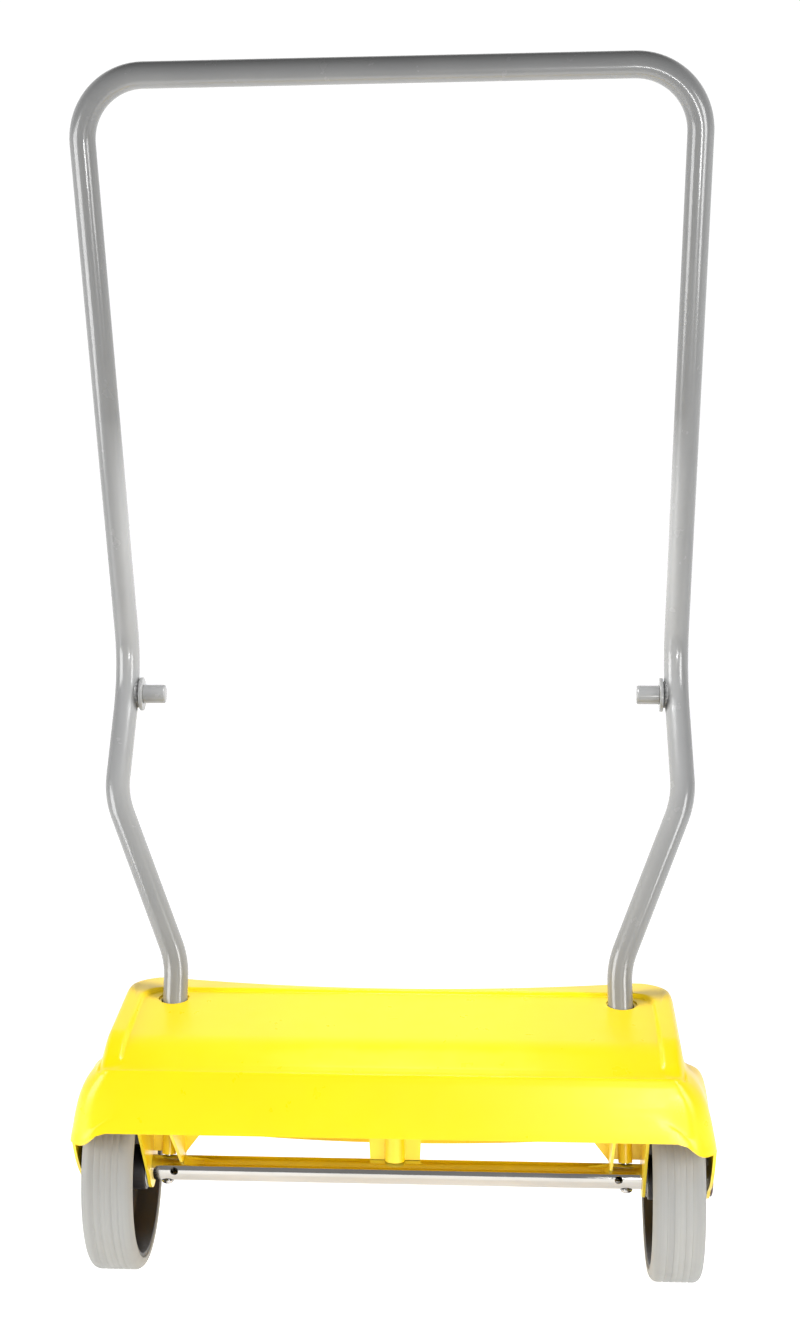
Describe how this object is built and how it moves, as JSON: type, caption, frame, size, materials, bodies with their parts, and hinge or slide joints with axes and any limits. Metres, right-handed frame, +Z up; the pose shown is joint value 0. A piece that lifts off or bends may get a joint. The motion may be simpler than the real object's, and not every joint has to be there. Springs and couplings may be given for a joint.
{
  "type": "sweeper carriage",
  "caption": "Wheeled push carriage of a carpet sweeper: moulded yellow hood on a chrome cross axle, grey-tyred wheels and a bent tube handle with inward pegs.",
  "frame": {"origin": "on the floor, under the middle of the object's box", "axes": "+Z up, the longest way; +X to the right of the person who pushes it, along the axle; +Y the way it is pushed"},
  "size_m": [0.6294, 0.2441, 1.1814],
  "materials": {
    "yellow_plastic": "moulded, half gloss",
    "grey_paint": "gloss powder coat",
    "chrome": "bright",
    "zinc_steel": "zinc plated",
    "grey_tyre": "matt",
    "black_plastic": "fine grain",
    "white_nylon": "satin",
    "maroon_plastic": "half gloss"
  },
  "bodies": {
    "carriage": {"hood_shell": "yellow_plastic", "handle_tube": "grey_paint", "axle_tube": "chrome", "handle_plug_left": "zinc_steel", "peg_flange_left": "grey_paint", "peg_left": "grey_paint", "axle_screw_left": "zinc_steel", "axle_washer_inner_left": "zinc_steel", "axle_washer_outer_left": "zinc_steel", "axle_push_ring_left": "zinc_steel", "axle_end_cap_left": "maroon_plastic", "handle_plug_right": "zinc_steel", "peg_flange_right": "grey_paint", "peg_right": "grey_paint", "axle_screw_right": "zinc_steel", "axle_washer_inner_right": "zinc_steel", "axle_washer_outer_right": "zinc_steel", "axle_push_ring_right": "zinc_steel", "axle_end_cap_right": "maroon_plastic"},
    "wheel_left": {"tyre_left": "grey_tyre", "wheel_rim_left": "black_plastic", "wheel_bush_inner_left": "white_nylon", "wheel_bush_outer_left": "white_nylon"},
    "wheel_right": {"tyre_right": "grey_tyre", "wheel_rim_right": "black_plastic", "wheel_bush_inner_right": "white_nylon", "wheel_bush_outer_right": "white_nylon"}
  },
  "joints": [
    {"name": "wheel_spin_left", "type": "hinge", "parent": "carriage", "child": "wheel_left", "pos_m": [-0.275, -0.005, 0.1], "axis": [1, 0, 0], "continuous": true},
    {"name": "wheel_spin_right", "type": "hinge", "parent": "carriage", "child": "wheel_right", "pos_m": [0.275, -0.005, 0.1], "axis": [1, 0, 0], "continuous": true}
  ]
}
